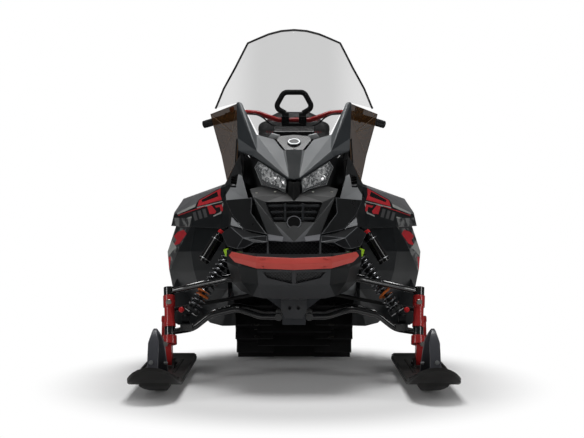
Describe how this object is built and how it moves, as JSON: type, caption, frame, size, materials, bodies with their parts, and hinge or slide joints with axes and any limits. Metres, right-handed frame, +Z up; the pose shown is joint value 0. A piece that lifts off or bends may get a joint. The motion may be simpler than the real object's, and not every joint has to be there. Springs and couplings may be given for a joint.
{
  "type": "two-seat touring snowmobile",
  "caption": "Snowmobile with steered skis on twin A-arms, a tall windshield over a faceted body, a two-seat bench with backrest and one rubber track under a tunnel.",
  "frame": {"origin": "on the floor, under the middle of the overall length and width", "axes": "-Y is the way the machine travels forward, +X is its own left side, +Z is up"},
  "size_m": [1.2, 3.25, 1.4537],
  "materials": {
    "pale_plastic": "satin moulded plastic, light grey",
    "dark_plastic": "grained black plastic",
    "grey_plastic": "satin dark grey plastic",
    "decal_plastic": "black film with a carbon weave",
    "red_plastic": "gloss red",
    "lime_plastic": "lime marker",
    "smoked": "smoked brown, see-through",
    "clear": "clear polycarbonate",
    "lamp": "clear lens over a bright reflector",
    "red_paint": "red powder coat",
    "black_paint": "black powder coat",
    "aluminium": "bare rolled and cast aluminium",
    "steel": "plated steel",
    "engine_iron": "dark cast metal",
    "track_rubber": "moulded rubber",
    "soft_rubber": "textured rubber",
    "vinyl": "stitched black vinyl",
    "ski_plastic": "black polyethylene",
    "tail_lens": "red lens"
  },
  "bodies": {
    "chassis": {"tunnel": "aluminium", "running_boards": "aluminium", "front_frame": "aluminium", "bay_frame": "aluminium", "engine": "engine_iron", "belly_pan": "grey_plastic", "bumper": "red_paint", "intake": "dark_plastic", "nose": "pale_plastic", "grille": "dark_plastic", "front_panels": "decal_plastic", "corner_facets": "pale_plastic", "cheeks": "dark_plastic", "corner_markers": "lime_plastic", "fins": "grey_plastic", "headlights": "lamp", "lamp_pocket": "dark_plastic", "hood": "pale_plastic", "badge_plate": "dark_plastic", "windshield": "clear", "windshield_trim": "soft_rubber", "deflectors": "smoked", "side_panels": "grey_plastic", "foot_wings": "dark_plastic", "console": "dark_plastic", "gauge": "dark_plastic", "tank": "dark_plastic", "column_bearing": "black_paint", "driver_seat": "vinyl", "rear_seat": "vinyl", "backrest": "vinyl", "backrest_frame": "black_paint", "rack": "black_paint", "rear_bumper": "black_paint", "tail_light": "tail_lens", "snow_flap": "soft_rubber", "track": "track_rubber", "drive_axle": "steel", "slide_rails": "aluminium", "idler_wheels": "dark_plastic", "skid_suspension": "steel", "lower_arms": "black_paint", "upper_arms": "black_paint", "shocks": "steel", "shock_springs": "black_paint", "shock_reservoirs": "black_paint"},
    "steering": {"handlebar": "red_paint", "steering_post": "black_paint", "grips": "soft_rubber", "grab_strap": "soft_rubber", "brake_set": "dark_plastic", "throttle_set": "dark_plastic", "control_cables": "soft_rubber"},
    "spindle_left": {"spindle_left": "red_paint"},
    "spindle_right": {"spindle_right": "red_paint"},
    "ski_left": {"ski_left": "ski_plastic", "ski_loop_left": "grey_plastic"},
    "ski_right": {"ski_right": "ski_plastic", "ski_loop_right": "grey_plastic"},
    "steering_link": {"steering_link": "steel"}
  },
  "joints": [
    {"name": "handlebar_steer", "type": "hinge", "parent": "chassis", "child": "steering", "pos_m": [0, -0.195, 1.076], "axis": [0, 0.4226, 0.9063], "range_deg": [-28, 28]},
    {"name": "ski_left_steer", "type": "hinge", "parent": "chassis", "child": "spindle_left", "pos_m": [0.492, -0.985, 0.197], "axis": [0.0489, 0.3177, 0.9469], "range_deg": [-29, 29]},
    {"name": "ski_right_steer", "type": "hinge", "parent": "chassis", "child": "spindle_right", "pos_m": [-0.492, -0.985, 0.197], "axis": [-0.0489, 0.3177, 0.9469], "range_deg": [-29, 29]},
    {"name": "link_slide", "type": "slide", "parent": "chassis", "child": "steering_link", "axis": [1, 0, 0], "range_m": [-0.047, 0.047]},
    {"name": "ski_left_rock", "type": "hinge", "parent": "spindle_left", "child": "ski_left", "pos_m": [0.505, -0.975, 0.074], "axis": [1, 0, 0], "range_deg": [-12, 12]},
    {"name": "ski_right_rock", "type": "hinge", "parent": "spindle_right", "child": "ski_right", "pos_m": [-0.505, -0.975, 0.074], "axis": [1, 0, 0], "range_deg": [-12, 12]}
  ],
  "couplings": [
    {"joint": "ski_left_steer", "follows": "handlebar_steer", "ratio": 1},
    {"joint": "ski_right_steer", "follows": "handlebar_steer", "ratio": 1},
    {"joint": "link_slide", "follows": "handlebar_steer", "m_per_rad": -0.0925}
  ]
}
